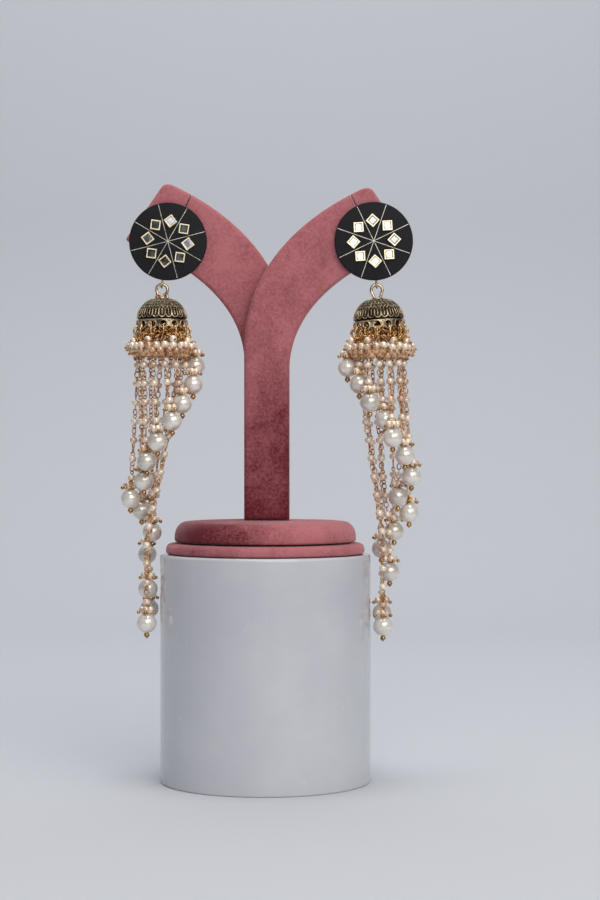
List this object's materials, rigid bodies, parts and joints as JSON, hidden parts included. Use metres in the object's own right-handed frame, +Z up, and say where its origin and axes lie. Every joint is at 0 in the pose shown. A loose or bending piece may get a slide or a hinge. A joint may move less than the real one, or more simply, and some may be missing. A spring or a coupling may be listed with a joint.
{
  "type": "pair of drop earrings on a display stand",
  "caption": "Long bell-shaped drop earrings with stone-set black studs and cascading pearl strands, hung on a Y-shaped velvet stand on a round riser.",
  "frame": {"origin": "middle of the riser's underside", "axes": "+Z up, +X to the viewer's right, -Y to the front where the stones face"},
  "size_m": [0.1235, 0.0872, 0.248],
  "materials": {
    "riser_white": "glossy white, slightly scuffed",
    "velvet": "dusty rose velvet with a short lit nap",
    "disc_black": "matte black",
    "inlay_gold": "polished thin lines",
    "mirror_stone": "foiled square stones in gold bezels",
    "antique_gold": "antique gold, dark in the recesses",
    "pearl_strand": "glossy cream pearls on rose gold links"
  },
  "bodies": {
    "stand": {"riser": "riser_white", "base_lower": "velvet", "base_upper": "velvet", "board_front": "velvet", "board_back": "velvet", "left_stud_disc": "disc_black", "left_inlay_star": "inlay_gold", "left_stone_1": "mirror_stone", "left_stone_2": "mirror_stone", "left_stone_3": "mirror_stone", "left_stone_4": "mirror_stone", "left_stone_5": "mirror_stone", "left_stone_6": "mirror_stone", "left_stone_7": "mirror_stone", "left_stone_8": "mirror_stone", "right_stud_disc": "disc_black", "right_inlay_star": "inlay_gold", "right_stone_1": "mirror_stone", "right_stone_2": "mirror_stone", "right_stone_3": "mirror_stone", "right_stone_4": "mirror_stone", "right_stone_5": "mirror_stone", "right_stone_6": "mirror_stone", "right_stone_7": "mirror_stone", "right_stone_8": "mirror_stone"},
    "left_drop": {"left_bail": "antique_gold", "left_dome": "antique_gold", "left_rim_pearls": "pearl_strand", "left_strand_01": "pearl_strand", "left_strand_02": "pearl_strand", "left_strand_03": "pearl_strand", "left_strand_04": "pearl_strand", "left_strand_05": "pearl_strand", "left_strand_06": "pearl_strand", "left_strand_07": "pearl_strand", "left_strand_08": "pearl_strand", "left_strand_09": "pearl_strand", "left_strand_10": "pearl_strand", "left_strand_11": "pearl_strand", "left_strand_12": "pearl_strand", "left_strand_13": "pearl_strand", "left_strand_14": "pearl_strand"},
    "right_drop": {"right_bail": "antique_gold", "right_dome": "antique_gold", "right_rim_pearls": "pearl_strand", "right_strand_01": "pearl_strand", "right_strand_02": "pearl_strand", "right_strand_03": "pearl_strand", "right_strand_04": "pearl_strand", "right_strand_05": "pearl_strand", "right_strand_06": "pearl_strand", "right_strand_07": "pearl_strand", "right_strand_08": "pearl_strand", "right_strand_09": "pearl_strand", "right_strand_10": "pearl_strand", "right_strand_11": "pearl_strand", "right_strand_12": "pearl_strand", "right_strand_13": "pearl_strand", "right_strand_14": "pearl_strand"}
  },
  "joints": [
    {"name": "left_swing", "type": "hinge", "parent": "stand", "child": "left_drop", "pos_m": [-0.04287, -0.00115, 0.20567], "axis": [1, 0, 0], "range_deg": [-30, 30]},
    {"name": "right_swing", "type": "hinge", "parent": "stand", "child": "right_drop", "pos_m": [0.04568, -0.00845, 0.20493], "axis": [1, 0, 0], "range_deg": [-30, 30]}
  ]
}
